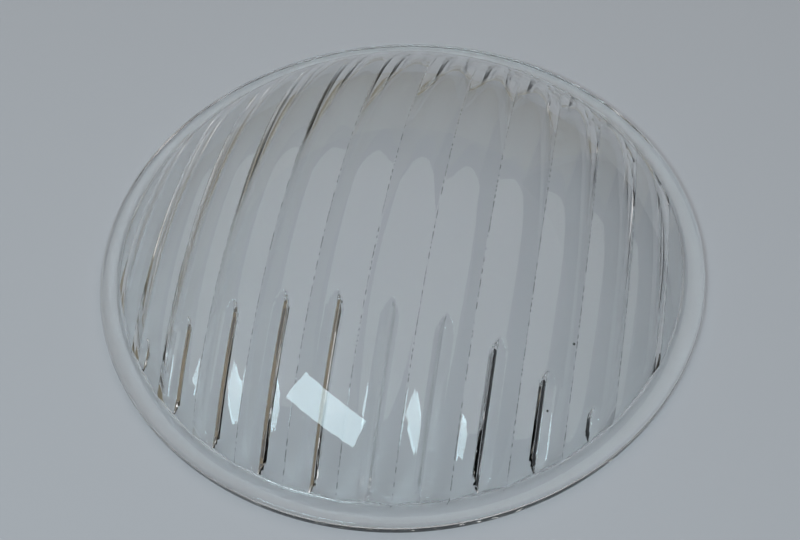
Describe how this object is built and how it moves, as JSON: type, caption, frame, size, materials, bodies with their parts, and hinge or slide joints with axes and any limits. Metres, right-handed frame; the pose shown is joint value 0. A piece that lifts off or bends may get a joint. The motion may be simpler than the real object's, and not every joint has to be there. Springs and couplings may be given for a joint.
{
  "type": "headlight lens",
  "caption": "Round pressed-glass headlight lens, domed outside, fluted inside, with short pointed V ribs near one edge and a flat rim to clamp.",
  "frame": {"origin": "centre of the ground underside of the rim", "axes": "+Z along the optical axis, out of the dome; +X across the flutes; +Y along them, away from the short ribs"},
  "size_m": [0.17, 0.17, 0.0376],
  "materials": {
    "lens_glass": "clear, fire-polished, with light wear"
  },
  "bodies": {
    "root": {"lens": "lens_glass"}
  },
  "joints": []
}
